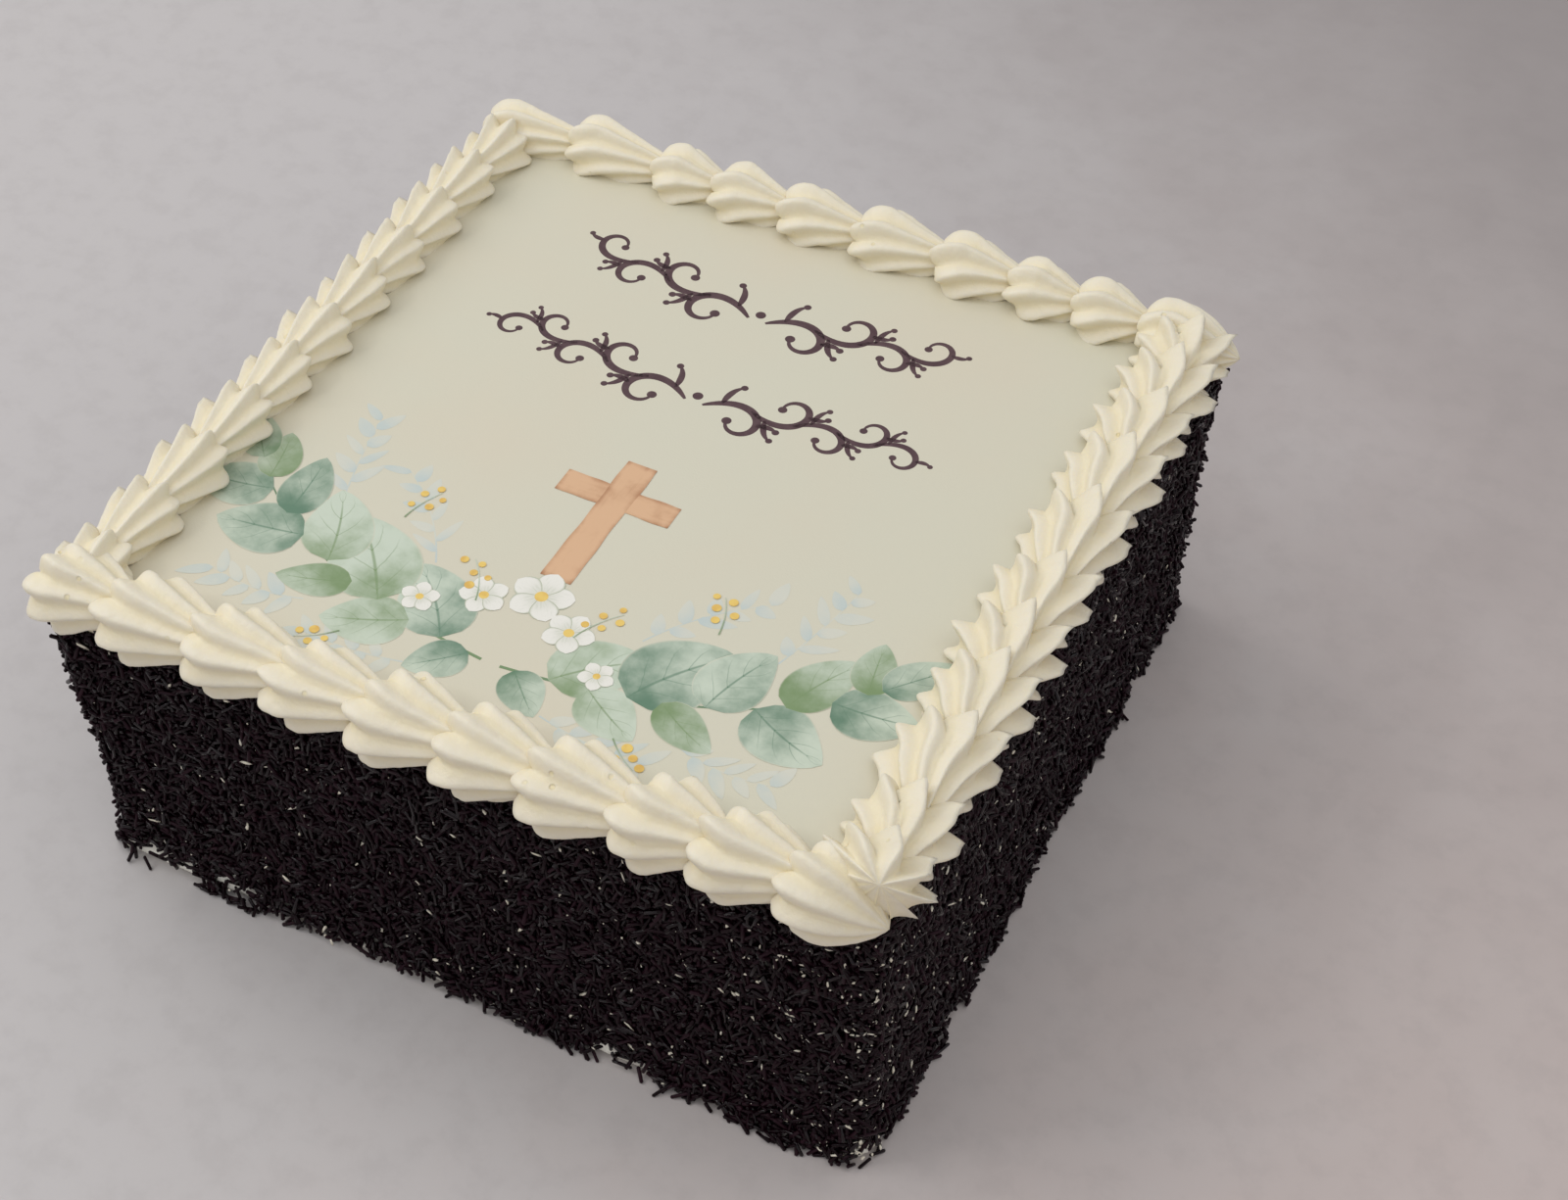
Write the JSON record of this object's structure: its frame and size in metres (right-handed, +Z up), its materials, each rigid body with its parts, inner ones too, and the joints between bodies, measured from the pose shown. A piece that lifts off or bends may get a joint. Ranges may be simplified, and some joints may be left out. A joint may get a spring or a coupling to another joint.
{
  "type": "square celebration cake",
  "caption": "Deep square cake coated with dark chocolate strands on its sides, with a printed icing sheet on top inside a border of piped cream shells.",
  "frame": {"origin": "middle of the flat base, on the surface that the cake stands on", "axes": "+Z up, -Y towards the reader's edge of the icing sheet, +X towards its right-hand edge"},
  "size_m": [0.2744, 0.2779, 0.1352],
  "materials": {
    "chocolate_strands": "dark chocolate strands pressed into pale cream, satin, uneven",
    "icing_sheet": "pale ivory icing sheet, smooth satin, printed with soft green leaves",
    "piped_cream": "pale ivory whipped cream, soft satin"
  },
  "bodies": {
    "root": {"cake": "chocolate_strands", "icing_sheet": "icing_sheet", "shell_back_01": "piped_cream", "shell_back_02": "piped_cream", "shell_back_03": "piped_cream", "shell_back_04": "piped_cream", "shell_back_05": "piped_cream", "shell_back_06": "piped_cream", "shell_back_07": "piped_cream", "shell_back_08": "piped_cream", "shell_back_09": "piped_cream", "shell_back_10": "piped_cream", "shell_left_01": "piped_cream", "shell_left_02": "piped_cream", "shell_left_03": "piped_cream", "shell_left_04": "piped_cream", "shell_left_05": "piped_cream", "shell_left_06": "piped_cream", "shell_left_07": "piped_cream", "shell_left_08": "piped_cream", "shell_left_09": "piped_cream", "shell_left_10": "piped_cream", "shell_left_11": "piped_cream", "shell_front_01": "piped_cream", "shell_front_02": "piped_cream", "shell_front_03": "piped_cream", "shell_front_04": "piped_cream", "shell_front_05": "piped_cream", "shell_front_06": "piped_cream", "shell_front_07": "piped_cream", "shell_front_08": "piped_cream", "shell_front_09": "piped_cream", "shell_front_10": "piped_cream", "shell_right_01": "piped_cream", "shell_right_02": "piped_cream", "shell_right_03": "piped_cream", "shell_right_04": "piped_cream", "shell_right_05": "piped_cream", "shell_right_06": "piped_cream", "shell_right_07": "piped_cream", "shell_right_08": "piped_cream", "shell_right_09": "piped_cream", "shell_right_10": "piped_cream", "shell_right_11": "piped_cream"}
  },
  "joints": []
}
